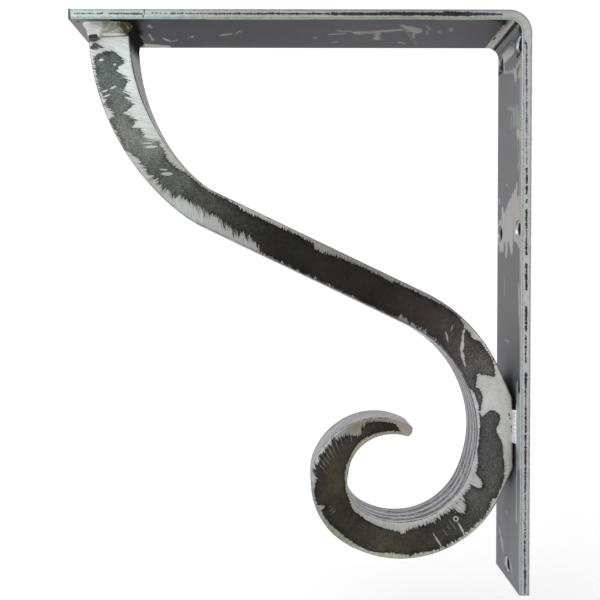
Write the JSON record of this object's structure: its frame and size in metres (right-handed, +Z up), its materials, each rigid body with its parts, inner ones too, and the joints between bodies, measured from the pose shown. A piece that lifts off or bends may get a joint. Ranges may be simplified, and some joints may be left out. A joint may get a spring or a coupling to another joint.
{
  "type": "countertop corbel",
  "caption": "Welded steel bracket for a countertop overhang: a flat bar bent to a right angle, braced by a thick tapering S-scroll that curls against the leg.",
  "frame": {"origin": "on the leg's wall face, at the centre of the rectangle of the four upper screw holes", "axes": "+X into the wall, +Z up along the leg towards the arm's top face, Y across the bar; the corbel is symmetric about the plane Y = 0"},
  "size_m": [0.2794, 0.0508, 0.3556],
  "materials": {
    "bar_steel": "raw hot-rolled bar, dull grey faces with light scratches, edges ground bright beside a dark seam",
    "scroll_steel": "raw plate, dark mill scale ground away in ragged pale patches, striated cut edges",
    "weld_metal": "weld ground bright, with a faint heat tint at one end"
  },
  "bodies": {
    "root": {"flat_bar": "bar_steel", "scroll": "scroll_steel", "head_weld": "weld_metal", "leg_weld_front": "weld_metal", "leg_weld_rear": "weld_metal"}
  },
  "joints": []
}
